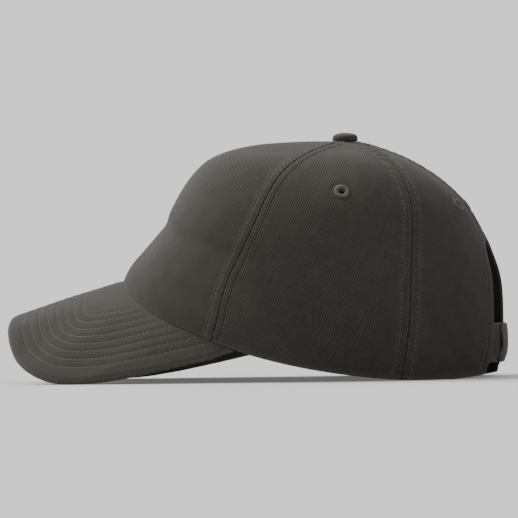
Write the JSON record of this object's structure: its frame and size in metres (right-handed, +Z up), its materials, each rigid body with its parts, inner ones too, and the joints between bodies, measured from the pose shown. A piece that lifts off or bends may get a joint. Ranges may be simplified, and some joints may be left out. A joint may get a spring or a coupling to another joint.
{
  "type": "five panel cap",
  "caption": "Soft cloth cap with a wide front panel, curved visor with stitched rows, covered top button, stitched eyelets and a strap across the arch at the back.",
  "frame": {"origin": "on the surface that the cap rests on, under the middle of its bounding box", "axes": "+Z up; the visor points to -X and the back of the head is at +X; the wearer's left is -Y"},
  "size_m": [0.2808, 0.1594, 0.1373],
  "materials": {
    "crown_twill": "washed cotton twill, dark olive grey",
    "visor_twill": "washed cotton twill with stitched rows",
    "button_twill": "twill stretched over a button",
    "strap_twill": "washed cotton twill strap",
    "eyelet_thread": "close satin stitch"
  },
  "bodies": {
    "root": {"front_panel": "crown_twill", "side_panel_left": "crown_twill", "side_panel_right": "crown_twill", "back_panel_left": "crown_twill", "back_panel_right": "crown_twill", "visor": "visor_twill", "top_button": "button_twill", "eyelet_side_left": "eyelet_thread", "eyelet_side_right": "eyelet_thread", "eyelet_back_left": "eyelet_thread", "eyelet_back_right": "eyelet_thread", "back_strap_under": "strap_twill", "back_strap_over": "strap_twill"}
  },
  "joints": []
}
